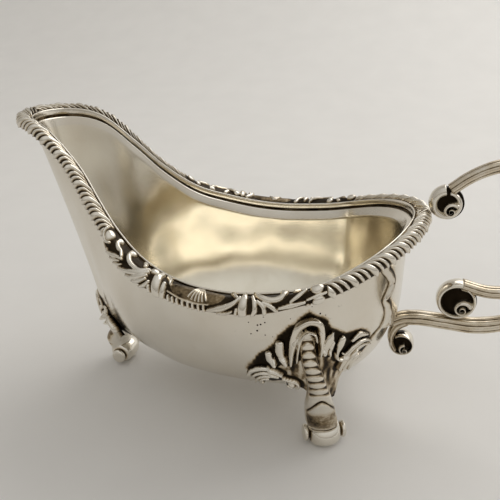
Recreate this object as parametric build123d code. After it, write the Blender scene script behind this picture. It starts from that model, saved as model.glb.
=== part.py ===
from build123d import *
import math
import os

# Silver sauce boat on three shell-headed legs, in millimetres.
# +Z is up, the spout points along -X, the handle along +X, and XZ is the plane of symmetry.
# The origin is on the ground, under the middle of the whole length.

# ---- bowl ----
BOWL_BOTTOM = 14.0      # underside of the bowl above the ground
WALL = 1.2              # thickness of the raised sheet
SPINE_MIDDLE = -20.0    # the bowl's sections close in on a line through here, along X ...
SPINE_SHARE = 0.45      # ... which is this share of the rim's length
BELLY_HEIGHT = 49.0     # height above which the sides stand upright
BELLY_SHARE = 0.94      # belly width over rim width, at the sides
REAR_BELLY_SHARE = 0.91     # the same at the handle end
BELLY_POWER = 2.6       # squareness of the wall between belly and bottom
REAR_BELLY_START = 20.0     # the rear share takes over between these places on the rim
REAR_BELLY_END = 43.0
NOSE_SHARE = 0.39       # how far forward the nose starts at the bottom
NOSE_ROUND = 10.0       # height over which the nose rounds into the bottom
NOSE_POWER = 2.5        # squareness of that rounding
NOSE_START = -84.0      # the nose's slope gives way to the belly between these places
NOSE_END = -46.0
EDGE_RISE = 0.8         # keeps the lowest section from shrinking to a point
LIP_HEIGHT = 9.0        # the wall flares out to the rim over this height
SECTION_HEIGHTS = [14.0, 15.5, 18.5, 24.0, 31.0, 40.0, 50.0, 60.0, 69.0, 77.5, 86.0, 94.0, 104.0]
SECTION_POINTS = 28

# Inner edge of the border seen from above: half of it, from spout tip to handle, as (x, y).
RIM_OUTLINE = [
    (-87.0, 0.0), (-84.0, 9.6), (-74.0, 16.0), (-61.6, 19.6), (-44.1, 28.9), (-27.4, 37.1),
    (-6.0, 40.6), (9.6, 39.8), (20.2, 37.4), (28.8, 31.3), (39.0, 17.2), (41.9, 9.2), (43.2, 0.0),
]
# Height of that edge along the boat, as (x, z).
RIM_PROFILE = [
    (-100.0, 99.4), (-87.0, 99.0), (-74.0, 96.2), (-61.6, 86.0), (-53.0, 76.6), (-44.1, 68.7),
    (-35.3, 63.9), (-20.3, 59.8), (-6.0, 58.9), (9.6, 60.6), (20.2, 63.2), (32.0, 68.1), (43.2, 73.3),
    (60.0, 80.8),
]
OUTLINE_POINTS = 48
PROFILE_STEP = 8.0
PROFILE_COUNT = 24
BOAT_REACH = 70.0       # more than half the width of the boat
BOAT_TOP = 120.0        # above everything

# ---- border ----
WIRE_HEIGHT = 2.4       # plain upstanding wire on the edge of the bowl
GADROON_WIDTH = 6.5     # from the rim outline to the outside of the gadroons
SHELL_WIDTH = 8.4       # the same where the border swells into shells and scrolls
CREST_RISE = 1.6        # crest of the border above the wire's edge
BORDER_DROP = 4.6       # outer lower edge of the border below the wire's edge
SEAT_GAP = 0.1          # solder gap between the castings and the wire
# The border's castings lie between these places along the boat.
SPOUT_END = -120.0
SCROLL_FRONT = -44.5
SHELL_FRONT = -19.5
SHELL_BACK = -3.5
REAR_GADROON_FRONT = 24.0
HANDLE_SIDE = 60.0

# ---- legs ----
PLATE_THICK = 2.2       # shell plates, and the leaf plate behind the handle
FRONT_FOOT = (-63.3, 0.0)
REAR_FOOT = (22.6, 26.4)
REAR_AZIMUTH = 66.0     # the way the rear legs face, from +X towards each side
REAR_SHELL_SHEAR = 0.33     # the rear shells' outer ends rise towards the handle
REAR_SHELL_SIDE = 7.0   # the rear shells sit this far forward of their feet
REAR_SHELL_HEIGHT = 34.0
FRONT_SHELL_HEIGHT = 23.0
TOE_RADIUS = 4.4
TOE_HEIGHT = 4.15       # less than the radius, so that each foot has a flat to stand on
TOE_LENGTH = 10.4
KNOB_RADIUS = 2.7
KNOB_LENGTH = 2.0
# Leg sections as (height, reach out from the toe, shift sideways, half depth, half width).
REAR_LEG = [
    (3.5, -0.4, 0.0, 3.4, 4.4), (11.0, 1.2, -1.8, 4.0, 5.0), (17.0, 3.3, -3.0, 3.6, 4.6),
    (24.0, 5.4, -4.2, 3.4, 3.9), (31.0, 7.0, -6.0, 3.5, 4.3), (40.0, 7.6, -8.6, 3.2, 4.6),
    (50.0, 7.2, -9.2, 2.4, 3.6),
]
FRONT_LEG = [
    (3.5, -0.4, 0.0, 3.4, 4.4), (11.0, 1.0, 0.0, 4.0, 4.6), (17.0, 3.2, 0.0, 3.8, 4.4),
    (24.0, 5.3, 0.0, 3.8, 4.2), (31.0, 7.6, 0.0, 3.4, 4.2), (38.0, 9.4, 0.0, 2.6, 3.4),
]
# Half outline of a shell plate as (sideways, up) from the line between its scrolled ends.
SHELL_OUTLINE = [(0.0, 18.0), (5.0, 15.0), (10.0, 9.0), (16.0, 4.0), (18.5, -2.0), (13.0, -5.0),
                 (6.0, -4.0), (0.0, -6.0)]

# ---- handle ----
HANDLE_DEPTH = 5.4      # width of the handle's scrolls across the boat
SCROLL_DEPTH = 7.0      # width of its three curled ends
STEM_THICK = 4.6
ARM_THICK = 4.8
TOP_CURL = (52.6, 77.3)
TOP_CURL_RADIUS = 5.8
LOW_CURL = (60.0, 44.9)
LOW_CURL_RADIUS = 7.0
FOOT_CURL = (44.5, 26.0)
FOOT_CURL_RADIUS = 4.5
MAIN_SCROLL = [(55.0, 82.0), (64.0, 89.5), (76.0, 91.0), (86.5, 84.0), (91.2, 71.0), (87.5, 58.0),
               (78.0, 50.5), (69.0, 48.4), (62.0, 48.2)]
LOWER_ARM = [(42.6, 34.6), (48.0, 36.2), (56.0, 36.2), (68.0, 36.4), (79.0, 40.6), (86.0, 47.4),
             (88.5, 56.0)]
FOOT_STEM = [(45.0, 33.0), (41.9, 29.5)]
# Half outline of the leaf plate on the back of the bowl, as (y, z).
BACK_PLATE = [(0.0, 65.0), (12.0, 65.0), (19.0, 63.0), (17.0, 57.5), (14.5, 54.0), (17.0, 50.0),
              (14.5, 44.0), (15.5, 39.5), (8.0, 36.0), (0.0, 32.0)]


# ---- curves ----
def smooth_height(stations, x):
    """Height at x on the smooth curve through the (x, height) stations."""
    count = len(stations)
    index = 0
    while index < count - 2 and x > stations[index + 1][0]:
        index += 1
    x0, z0 = stations[index]
    x1, z1 = stations[index + 1]
    before = stations[max(index - 1, 0)]
    after = stations[min(index + 2, count - 1)]
    slope0 = (z1 - before[1]) / (x1 - before[0])
    slope1 = (after[1] - z0) / (after[0] - x0)
    run = x1 - x0
    t = (x - x0) / run
    return (
        (1 + 2 * t) * (1 - t) ** 2 * z0
        + t * (1 - t) ** 2 * run * slope0
        + t * t * (3 - 2 * t) * z1
        - t * t * (1 - t) * run * slope1
    )


def rim_height(x):
    return smooth_height(RIM_PROFILE, x)


def smooth_step(low, high, value):
    t = min(max((value - low) / (high - low), 0.0), 1.0)
    return t * t * (3 - 2 * t)


def closed_curve(half):
    """Smooth closed curve through a half outline in the XY plane and its mirror image."""
    mirrored = [(x, -y) for x, y in reversed(half[1:-1])]
    return Spline(*(half + mirrored), periodic=True)


RIM_CURVE = closed_curve(RIM_OUTLINE)


def rim_points(count):
    """Points round the rim outline with their outward directions."""
    found = []
    for number in range(count):
        place = RIM_CURVE.position_at(number / count)
        along = RIM_CURVE.tangent_at(number / count)
        outward = Vector(along.Y, -along.X, 0).normalized()
        if outward.X * (place.X - SPINE_MIDDLE) + outward.Y * place.Y < 0:
            outward = outward * -1
        found.append((place, outward))
    return found


# ---- bowl ----
def wall_share(height, rim, rim_x):
    """Share of the way from the spine to the rim at which the wall stands at a height."""
    rise = height - BOWL_BOTTOM
    rearness = smooth_step(REAR_BELLY_START, REAR_BELLY_END, rim_x)
    side = BELLY_SHARE + (REAR_BELLY_SHARE - BELLY_SHARE) * rearness
    if height < BELLY_HEIGHT:
        fall = (BELLY_HEIGHT - height) / (BELLY_HEIGHT - BOWL_BOTTOM + EDGE_RISE)
        side *= (1 - fall ** BELLY_POWER) ** (1 / BELLY_POWER)
    side += (1 - side) * smooth_step(rim - LIP_HEIGHT, rim, height)
    nose = NOSE_SHARE + (1 - NOSE_SHARE) * rise / (rim - BOWL_BOTTOM)
    if rise < NOSE_ROUND:
        dip = 1 - (rise + EDGE_RISE) / (NOSE_ROUND + EDGE_RISE)
        nose *= (1 - dip ** NOSE_POWER) ** (1 / NOSE_POWER)
    front = 1 - smooth_step(NOSE_START, NOSE_END, rim_x)
    return side + (nose - side) * front


def bowl_section(height, growth):
    """Closed curve round the wall at one height, grown outward by a distance."""
    points = []
    for place, outward in rim_points(SECTION_POINTS):
        spine = Vector(SPINE_MIDDLE + SPINE_SHARE * (place.X - SPINE_MIDDLE), 0, 0)
        arm = place - spine
        share = wall_share(height, rim_height(place.X), place.X)
        point = spine + arm * share + arm.normalized() * growth
        points.append((point.X, point.Y, height))
    return Wire([Spline(*points, periodic=True)])


def bowl_body(growth, lift):
    """Solid inside the wall, grown outward by a distance, with its floor lifted."""
    sections = [bowl_section(height, growth) for height in SECTION_HEIGHTS]
    return Solid.make_loft([section.moved(Location((0, 0, lift))) for section in sections])


def rim_band(low, high):
    """Slab between two heights measured from the rim's edge, as wide as the boat."""
    xs = [SPOUT_END + PROFILE_STEP * step for step in range(PROFILE_COUNT)]
    top = [(x, 0, rim_height(x) + high) for x in xs]
    bottom = [(x, 0, rim_height(x) + low) for x in xs]
    edges = [Spline(*top), Line(top[-1], bottom[-1]), Spline(*bottom), Line(bottom[0], top[0])]
    return extrude(make_face(edges), amount=BOAT_REACH, dir=(0, 1, 0), both=True)


# ---- border ----
def outline_prism(distance):
    """Tall prism inside the rim outline grown outward by a distance."""
    points = [place + outward * distance for place, outward in rim_points(OUTLINE_POINTS)]
    return extrude(make_face(Spline(*points, periodic=True)), amount=BOAT_TOP)


def border_ring(inside, outside, low, high):
    """Ring round the rim between two distances and two heights from the rim's edge."""
    return (outline_prism(outside) - outline_prism(inside)) & rim_band(low, high)


def stretch(ring, start, end, side):
    """The piece of a ring between two places along the boat, on one side of it."""
    block = Box(end - start, BOAT_REACH, BOAT_TOP)
    return ring & (Pos((start + end) / 2, side * BOAT_REACH / 2, BOAT_TOP / 2) * block)


# ---- plates that follow the bowl ----
def surface_plate(half_outline, layer, azimuth, foot, height, side_shift, shear):
    """Plate with a smooth outline, cut from the layer round the bowl and facing one way."""
    points = [(u, v + shear * u) for u, v in half_outline]
    points += [(-u, v - shear * u) for u, v in reversed(half_outline[1:-1])]
    facing = Plane(
        origin=(foot[0], foot[1], 0),
        x_dir=(-math.sin(azimuth), math.cos(azimuth), 0),
        z_dir=(math.cos(azimuth), math.sin(azimuth), 0),
    )
    outline = make_face(Spline(*points, periodic=True))
    prism = extrude(Pos(side_shift, height, 0) * outline, amount=BOAT_REACH)
    return layer & (facing * prism)


# ---- legs ----
def leg(stations, foot, azimuth, bowl_outside, plate):
    """Cast leg with its toe roll, cut back to the bowl and to the shell plate above it."""
    sections = []
    for height, reach, shift, depth, width in stations:
        section = Ellipse(depth, width).face()
        sections.append(Pos(reach, shift, height) * section)
    stem = loft(sections)
    turn = Pos(0, 0, TOE_HEIGHT) * Rot(90, 0, 0)
    roll = turn * Cylinder(TOE_RADIUS, TOE_LENGTH)
    knobs = turn * Cylinder(KNOB_RADIUS, TOE_LENGTH + 2 * KNOB_LENGTH)
    above_ground = Pos(0, 0, BOAT_TOP / 2) * Box(BOAT_REACH, BOAT_REACH, BOAT_TOP)
    casting = (stem + roll + knobs) & above_ground
    placed = Pos(foot[0], foot[1], 0) * Rot(0, 0, math.degrees(azimuth)) * casting
    return largest(placed - bowl_outside - plate)


# ---- handle ----
def flat_curl(centre, radius, depth):
    """Round curled end of a scroll, lying across the boat."""
    return Pos(centre[0], 0, centre[1]) * Rot(90, 0, 0) * Cylinder(radius, depth)


def stem(points, thick, depth):
    """Scroll stem of constant oval section along a smooth line in the plane of symmetry."""
    path = Spline(*[(x, 0, z) for x, z in points])
    start = path.position_at(0)
    across = Plane(origin=start, x_dir=(0, 1, 0), z_dir=path.tangent_at(0))
    return sweep(across * Ellipse(depth / 2, thick / 2), path=path)


def largest(shape):
    """The biggest solid of a shape, without the slivers that a cut leaves."""
    return max(shape.solids(), key=lambda solid: solid.volume)


def save(shape, name):
    os.makedirs("parts", exist_ok=True)
    export_step(shape, f"parts/{name}.step")


def build_bowl():
    outside = bowl_body(WALL, 0)
    wall = outside - bowl_body(0, WALL)
    save(wall & rim_band(-BOAT_TOP, -WIRE_HEIGHT), "bowl")
    return outside


def build_border(handle_curl):
    save(border_ring(0, WALL, -WIRE_HEIGHT, 0), "rim_wire")
    gadroons = border_ring(WALL + SEAT_GAP, GADROON_WIDTH, -BORDER_DROP, CREST_RISE)
    shells = border_ring(WALL + SEAT_GAP, SHELL_WIDTH, -BORDER_DROP, CREST_RISE)
    pieces = [
        ("gadroons_spout", gadroons, SPOUT_END, SCROLL_FRONT),
        ("scroll_front", shells, SCROLL_FRONT, SHELL_FRONT),
        ("border_shell", shells, SHELL_FRONT, SHELL_BACK),
        ("scroll_rear", shells, SHELL_BACK, REAR_GADROON_FRONT),
        ("gadroons_rear", gadroons, REAR_GADROON_FRONT, HANDLE_SIDE),
    ]
    for name, ring, start, end in pieces:
        for side, sign in (("near", -1), ("far", 1)):
            save(stretch(ring, start, end, sign) - handle_curl, f"{name}_{side}")


def build_legs(bowl_outside, layer):
    for side, sign in (("near", -1), ("far", 1)):
        azimuth = sign * math.radians(REAR_AZIMUTH)
        foot = (REAR_FOOT[0], sign * REAR_FOOT[1])
        stations = [(z, reach, -sign * shift, depth, width) for z, reach, shift, depth, width in REAR_LEG]
        plate = surface_plate(
            SHELL_OUTLINE, layer, azimuth, foot,
            REAR_SHELL_HEIGHT, sign * REAR_SHELL_SIDE, -sign * REAR_SHELL_SHEAR,
        )
        save(plate, f"shell_rear_{side}")
        save(leg(stations, foot, azimuth, bowl_outside, plate), f"leg_rear_{side}")
    plate = surface_plate(SHELL_OUTLINE, layer, math.pi, FRONT_FOOT, FRONT_SHELL_HEIGHT, 0, 0)
    save(plate, "shell_front")
    save(leg(FRONT_LEG, FRONT_FOOT, math.pi, bowl_outside, plate), "leg_front")


def build_handle(bowl_outside, layer):
    back_plate = surface_plate(BACK_PLATE, layer, 0, (0, 0), 0, 0, 0)
    save(back_plate, "handle_back_plate")
    top_curl = flat_curl(TOP_CURL, TOP_CURL_RADIUS, SCROLL_DEPTH)
    low_curl = flat_curl(LOW_CURL, LOW_CURL_RADIUS, SCROLL_DEPTH)
    foot_curl = flat_curl(FOOT_CURL, FOOT_CURL_RADIUS, SCROLL_DEPTH)
    main = stem(MAIN_SCROLL, STEM_THICK, HANDLE_DEPTH) - top_curl - low_curl
    arm = stem(LOWER_ARM, ARM_THICK, HANDLE_DEPTH) - bowl_outside - back_plate - low_curl - main
    foot_stem = stem(FOOT_STEM, ARM_THICK, HANDLE_DEPTH) - bowl_outside - back_plate - arm - foot_curl
    save(top_curl, "handle_top_curl")
    save(main, "handle_main_scroll")
    save(low_curl, "handle_inner_curl")
    save(arm, "handle_lower_arm")
    save(foot_stem, "handle_foot_stem")
    save(foot_curl, "handle_foot_curl")


outside = build_bowl()
build_border(flat_curl(TOP_CURL, TOP_CURL_RADIUS, SCROLL_DEPTH))
layer = bowl_body(WALL + PLATE_THICK, 0) - outside
build_legs(outside, layer)
build_handle(outside, layer)
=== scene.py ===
"""Silver sauce boat: the detailed visual model, its materials, and the studio that it stands in.

All shapes are worked out in millimetres in the frame of the CAD (+Z up, spout towards -X, handle
towards +X) and become metres when a mesh is made. "near" is the -Y side and "far" is its mirror image.
"""
import bmesh
import bpy
import math
import numpy as np
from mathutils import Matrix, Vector


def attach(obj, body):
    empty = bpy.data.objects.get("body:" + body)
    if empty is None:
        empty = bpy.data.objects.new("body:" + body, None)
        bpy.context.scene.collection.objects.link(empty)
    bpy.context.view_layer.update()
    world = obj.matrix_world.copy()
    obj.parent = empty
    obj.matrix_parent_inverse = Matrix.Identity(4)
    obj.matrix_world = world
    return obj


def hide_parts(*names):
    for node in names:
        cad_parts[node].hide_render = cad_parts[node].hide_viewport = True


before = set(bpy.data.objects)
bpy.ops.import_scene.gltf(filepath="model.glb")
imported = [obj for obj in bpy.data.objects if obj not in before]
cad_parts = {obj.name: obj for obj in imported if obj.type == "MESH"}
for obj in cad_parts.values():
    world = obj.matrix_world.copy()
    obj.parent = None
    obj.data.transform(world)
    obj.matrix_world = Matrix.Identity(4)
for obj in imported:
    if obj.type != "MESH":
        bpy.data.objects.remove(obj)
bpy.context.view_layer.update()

MM = 0.001
SEED = 11

# ---- bowl: the CAD's, but with a fuller nose and a lip that turns out later ----
BOWL_BOTTOM = 14.0      # underside above the ground
WALL = 1.2              # thickness of the sheet
SPINE_MIDDLE = -20.0    # the bowl's sections close in on a line through here, along X ...
SPINE_SHARE = 0.45      # ... which is this share of the rim's length
BELLY_HEIGHT = 49.0     # the sides stand upright above this height
BELLY_SHARE = 0.94      # belly width over rim width, at the sides
REAR_BELLY_SHARE = 0.91     # the same at the handle end
REAR_BELLY_START = 20.0     # the rear share takes over between these places on the rim
REAR_BELLY_END = 43.0
BELLY_POWER = 2.6       # squareness of the wall between belly and bottom
NOSE_SHARE = 0.48       # how far forward the nose starts at the bottom
NOSE_BEND = 1.25        # how hollow its line is
NOSE_ROUND = 8.0        # height over which it rounds into the bottom
NOSE_POWER = 2.5        # squareness of that rounding
NOSE_START = -84.0      # the nose's slope gives way to the belly between these places
NOSE_END = -46.0
RIM_OUTLINE = [
    (-87.0, 0.0), (-84.0, 9.6), (-74.0, 16.0), (-61.6, 19.6), (-44.1, 28.9), (-27.4, 37.1),
    (-6.0, 40.6), (9.6, 39.8), (20.2, 37.4), (28.8, 31.3), (39.0, 17.2), (41.9, 9.2), (43.2, 0.0),
]
RIM_PROFILE = [
    (-100.0, 99.4), (-87.0, 99.0), (-74.0, 96.2), (-61.6, 86.0), (-53.0, 76.6), (-44.1, 68.7),
    (-35.3, 63.9), (-20.3, 59.8), (-6.0, 58.9), (9.6, 60.6), (20.2, 63.2), (32.0, 68.1), (43.2, 73.3),
    (60.0, 80.8),
]
LIP_HEIGHT = 6.2        # the wall turns outward over this height below the rim
LIP_CURVE = 1.15        # how suddenly it turns
WIRE_HEIGHT = 2.4
GROOVE_DEPTH = 0.85     # groove between the lip and the wire
GROOVE_WIDTH = 0.7
# Rings of the groove and the sheet's top as (outward, up).
GROOVE_RINGS = [(1.1, 0.5), (GROOVE_DEPTH, 0.1), (0.4, 0.02), (0.05, 0.2), (-0.2, 0.2)]
WIRE_SECTION = [
    (0.6, -2.3), (0.05, -2.1), (0.0, -1.9), (0.0, -0.3), (0.08, -0.08), (0.25, 0.0), (0.42, -0.05),
    (0.56, -0.25), (0.62, -0.7), (0.9, -2.4), (0.8, -2.5),
]
BOWL_COLUMNS = 420
BOWL_ROWS = 90
ROW_BUNCHING = 1.7      # over 1, the rows lie closer together near the bottom
LIP_ROWS = 15           # counting the last row below the lip
LOWEST_RING = BOWL_BOTTOM + 0.02
WAVE_COUNT = 9          # hammered waves, with their heights and lengths
INNER_WAVE_HEIGHT = 0.08
INNER_WAVE_LENGTH = 16.0
OUTER_WAVE_HEIGHT = 0.05
OUTER_WAVE_LENGTH = 22.0
# Places on the bowl with small dark pits, and how far the pits spread from them.
PITTED_PLACES = [((19.0, -37.0, 53.5), 8.0), ((3.0, -40.0, 47.0), 6.0), ((-56.0, -17.0, 72.0), 9.0)]
# Outlines of the black polish and oxide left on the bowl round the shells, as (sideways, height).
REAR_HALO = [
    (-25.6, 31.0), (-24.6, 35.2), (-20.4, 41.4), (-16.2, 46.4), (-12.4, 51.8), (-8.4, 53.8), (-4.6, 52.2),
    (-3.0, 49.0), (0.0, 47.0), (3.0, 44.6), (7.0, 44.4), (11.0, 43.0), (13.2, 40.0), (13.0, 36.0),
    (10.0, 31.0), (0.0, 28.0), (-22.0, 24.0),
]
FRONT_HALO = [
    (-11.8, 17.0), (-12.0, 21.0), (-10.4, 25.4), (-8.0, 29.4), (-3.6, 33.0), (0.0, 33.8), (3.6, 33.0),
    (8.0, 29.4), (10.4, 25.4), (12.0, 21.0), (11.8, 17.0),
]
HALO_RAGGEDNESS = 0.35

# ---- border: cross-sections as (outward, up) from the rim's edge, inner side first ----
GADROON_SECTION = [(0.64, -0.8), (1.4, -0.2), (2.6, 0.4), (3.7, 0.7), (4.5, 0.1), (4.9, -1.1), (4.7, -2.4)]
MIDDLE_SECTION = [(0.64, -0.8), (1.5, -0.4), (3.2, 0.2), (4.7, 0.4), (5.9, -0.4), (6.6, -1.9), (6.7, -3.6)]
UNDERSIDE = [(3.2, -3.1), (0.9, -3.2), (0.6, -2.0)]
UNDERSIDE_TONE = 0.45
BORDER_COLUMNS = 1080   # along each side
BORDER_ROWS = 52        # across the border
MIDDLE_X = -11.4        # middle of the central shell
MIDDLE_FRONT = -38.0    # the gadroons begin this far along the rim from there
MIDDLE_REAR = 33.0
GADROON_PITCH = 6.2
GADROON_LEAN = 6.4      # how far a lobe's outer end leads its inner end
GADROON_HEIGHT = 0.9
GADROON_SHARE = 0.20    # half of a large lobe's room over the pitch
GADROON_FILL = 0.82     # share of its room that the lobe fills
GADROON_POINT = 0.35    # width of its inner end over its outer end
GADROON_ROUND = 1.8     # length of its rounded outer end
GADROON_DARTS = 2       # thin ridges between the large lobes
DART_FILL = 0.29
DART_HEIGHT = 0.7       # over the large lobe's
# The lengths of the border end at these places along X, as in the CAD.
BORDER_PIECES = [
    ("gadroons_spout", -120.0, -44.5), ("scroll_front", -44.5, -19.5), ("border_shell", -19.5, -3.5),
    ("scroll_rear", -3.5, 24.0), ("gadroons_rear", 24.0, 60.0),
]
STROKE_FULLNESS = 2.4   # at 2 a raised stroke is half round, and over 2 it is fuller
# Raised strokes of the shaped border: (points as (along, across), radii along the stroke, height).
BORDER_STROKES = [
    # leaf curl at the front end
    ([(-35.2, 3.9)], (1.7,), 1.2),
    ([(-37.8, 3.4), (-37.2, 5.3), (-35.2, 6.0), (-33.4, 5.3)], (0.42, 0.59, 0.34), 0.9),
    ([(-36.6, 7.0), (-35.0, 7.7), (-33.4, 7.2)], (0.42, 0.67, 0.42), 0.7),
    # first C-scroll and the leaves under it
    ([(-32.0, 2.2)], (1.1,), 1.1),
    ([(-32.2, 2.0), (-31.4, 3.5), (-29.8, 4.3), (-28.0, 4.5), (-26.6, 5.3)], (0.76, 0.67, 0.34), 1.05),
    ([(-33.2, 7.8), (-30.6, 7.1), (-28.2, 6.2), (-26.2, 5.8)], (0.42, 0.71, 0.34), 0.95),
    ([(-31.4, 8.5), (-29.2, 7.7), (-27.0, 6.7)], (0.42, 0.59, 0.25), 0.85),
    ([(-29.6, 8.9), (-27.6, 8.1), (-25.8, 7.0)], (0.42, 0.59, 0.25), 0.85),
    # second C-scroll and the fan of long leaves
    ([(-25.8, 1.9)], (1.2,), 1.2),
    ([(-26.6, 1.6), (-25.4, 3.5), (-23.8, 4.7), (-21.2, 5.2), (-18.6, 4.9), (-16.8, 3.6)],
     (0.76, 0.67, 0.38), 1.1),
    ([(-20.4, 1.4), (-19.2, 2.8)], (0.84, 0.67), 0.95),
    ([(-26.8, 8.6), (-23.6, 7.7), (-20.8, 6.5), (-18.0, 5.3), (-16.4, 4.3)], (0.42, 0.8, 0.34), 1.05),
    ([(-23.4, 8.9), (-21.0, 8.1), (-18.6, 6.5), (-16.4, 5.2)], (0.42, 0.71, 0.34), 1.0),
    ([(-20.8, 9.2), (-18.7, 7.9), (-16.4, 6.1)], (0.42, 0.67, 0.34), 1.0),
    ([(-18.2, 9.3), (-16.6, 8.1), (-15.2, 6.3)], (0.42, 0.63, 0.34), 1.0),
    # large turned-over leaf beside the shell
    ([(-15.6, 2.5)], (1.4,), 1.25),
    ([(-13.4, 1.8), (-13.2, 4.1), (-12.8, 6.0), (-12.6, 7.7), (-12.4, 8.7)], (0.84, 1.18, 1.43, 1.34), 1.2),
    ([(-10.4, 5.0), (-10.4, 6.7), (-10.6, 8.7)], (0.59, 0.84, 0.76), 1.05),
    ([(-15.0, 7.5), (-14.8, 9.1)], (0.5, 0.59), 0.9),
    ([(-11.4, 1.4), (-10.0, 2.8), (-8.9, 4.5)], (0.84, 0.76, 0.34), 1.1),
    # leaf behind the shell, and its peak
    ([(3.0, 8.4), (5.6, 7.8), (8.2, 6.8), (10.2, 5.6), (11.2, 4.5)], (0.42, 0.92, 0.76, 0.42), 1.15),
    ([(5.8, 9.1), (8.0, 8.7), (9.4, 8.1)], (0.5, 0.59, 0.34), 0.9),
    ([(8.6, 1.6), (9.4, 3.4), (10.6, 4.6)], (0.84, 0.67, 0.34), 1.0),
    ([(12.2, 2.4), (12.3, 5.0), (12.2, 7.0), (12.2, 8.8)], (0.5, 1.01, 1.34, 1.18), 1.1),
    ([(10.6, 7.4), (10.4, 8.9)], (0.42, 0.5), 0.85),
    # acanthus and third C-scroll
    ([(14.5, 4.1), (15.2, 5.8), (15.4, 7.5), (14.9, 8.8)], (0.42, 0.67, 0.76, 0.67), 1.05),
    ([(15.9, 5.3), (17.5, 6.7), (17.8, 8.5)], (0.42, 0.67, 0.59), 1.0),
    ([(17.2, 5.6), (19.6, 6.8), (20.8, 7.9)], (0.34, 0.67, 0.5), 0.95),
    ([(14.4, 1.4), (15.4, 3.4), (17.6, 4.7), (20.0, 5.1), (22.0, 4.5), (23.0, 3.0)],
     (0.42, 0.67, 0.76, 0.84), 1.1),
    ([(22.6, 1.9)], (1.3,), 1.2),
    # small leaves towards the rear end
    ([(21.4, 7.2), (24.4, 6.8), (27.8, 6.3)], (0.42, 0.76, 0.42), 0.95),
    ([(24.4, 5.8), (26.2, 4.7), (28.2, 3.4)], (0.42, 0.63, 0.42), 0.95),
    ([(26.4, 1.6), (25.4, 2.8)], (0.76, 0.42), 0.9),
    # double ball at the rear end
    ([(30.8, 3.2)], (1.7,), 1.25),
    ([(28.4, 5.8), (30.4, 5.3), (32.6, 5.0)], (0.34, 0.5, 0.34), 0.8),
    ([(31.0, 6.7)], (1.5,), 1.1),
    ([(28.6, 7.4), (29.4, 8.2)], (0.59, 0.42), 0.8),
]
FAN_APEX = (-0.2, 1.0)
FAN_FLUTES = 6
FAN_REACH = 5.6
FAN_SPREAD = 27.0
DISH_MIDDLE = (-1.0, 4.2)
DISH_RADII = (8.0, 3.4)
DISH_HEIGHT = 0.22
# Darkness of the recesses, partly oxide and partly painted shade, and the heights at which the relief is bright
# again.
DISH_TONE = 0.66
RECESS_TONE = 0.9
GADROON_BRIGHT = 0.5
LEAF_BRIGHT = 0.78
TAB_PLACES = [-8.6, -7.3, -5.9, -4.3, -2.7, -1.3, 0.3, 1.8]
TAB_ACROSS = 8.3

# ---- legs ----
REAR_FOOT = (22.6, -26.4)       # on the near side
REAR_AZIMUTH = -66.0    # the way it faces, in degrees from +X
FRONT_FOOT = (-63.3, 0.0)
TOE_HEIGHT = 4.15
TOE_NOSE = 0.28         # the roll bulges forward by this share in its middle
TOE_HALF = 5.0          # half the roll's length between its knobs
TOE_GROOVE = 5.15       # dark groove before each knob
TOE_COLUMNS = 64
# Half profile of the toe roll as (out from its middle, radius).
TOE_PROFILE = [
    (0.0, 4.4), (2.0, 4.35), (3.6, 4.0), (4.5, 3.4), (4.9, 2.7), (5.0, 2.1), (5.25, 1.9), (5.5, 2.2),
    (5.8, 2.6), (6.4, 2.75), (6.9, 2.4), (7.15, 1.6), (7.2, 0.8), (7.2, 0.0),
]
# Leg stations: (height, sideways, front face reach, half width, depth).
REAR_LEG = [
    (3.0, 0.0, 3.4, 4.4, 6.6), (7.0, -0.8, 4.4, 4.9, 7.6), (9.2, -1.4, 5.2, 5.0, 7.8),
    (11.4, -1.9, 5.9, 5.2, 8.2), (13.6, -2.4, 6.0, 5.0, 7.8), (17.3, -3.1, 7.0, 4.7, 7.4),
    (21.0, -3.8, 8.3, 4.1, 7.2), (24.2, -4.3, 9.0, 3.5, 7.0), (27.0, -5.0, 9.7, 3.1, 6.8),
    (30.4, -6.0, 10.4, 2.9, 6.6), (34.0, -7.2, 10.7, 2.7, 6.0), (38.0, -8.5, 10.8, 2.4, 4.8),
    (44.7, -9.4, 10.2, 2.1, 3.0), (48.0, -9.3, 8.8, 1.6, 1.4),
]
FRONT_LEG = [
    (3.0, 0.0, 3.4, 4.4, 6.6), (7.0, 0.0, 6.4, 4.6, 8.6), (9.2, 0.0, 7.4, 4.5, 9.2),
    (11.4, 0.0, 6.6, 4.5, 9.0), (13.6, 0.0, 4.6, 4.3, 8.0), (17.3, 0.0, 4.8, 4.1, 7.6),
    (21.0, 0.0, 6.2, 3.8, 7.2), (24.2, 0.0, 7.8, 3.4, 5.6), (27.0, 0.0, 8.7, 3.0, 4.4),
    (29.4, 0.0, 9.0, 2.4, 3.0), (31.2, 0.0, 8.9, 1.8, 2.0),
]
RIB_BOTTOM = 25.7       # the lowest slit between the ribs is at this height
RIB_PITCH = 2.8
RIB_DEPTH = 0.8
RIB_BEND = 1.0          # the ribs' ends hang below their middles
CREASE_HEIGHT = 8.0     # fold above the toe roll
CREASE_WIDTH = 0.4
TONGUE_TOP = 22.6       # the smooth pad below the ribs ends in a tongue
TONGUE_DROP = 6.5
PAD_HEIGHT = 0.35
PAD_REFLECTION_TONE = 0.56       # painted dark reflection on the pad
LEG_STEP = 0.18
LEG_COLUMNS = 72
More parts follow.
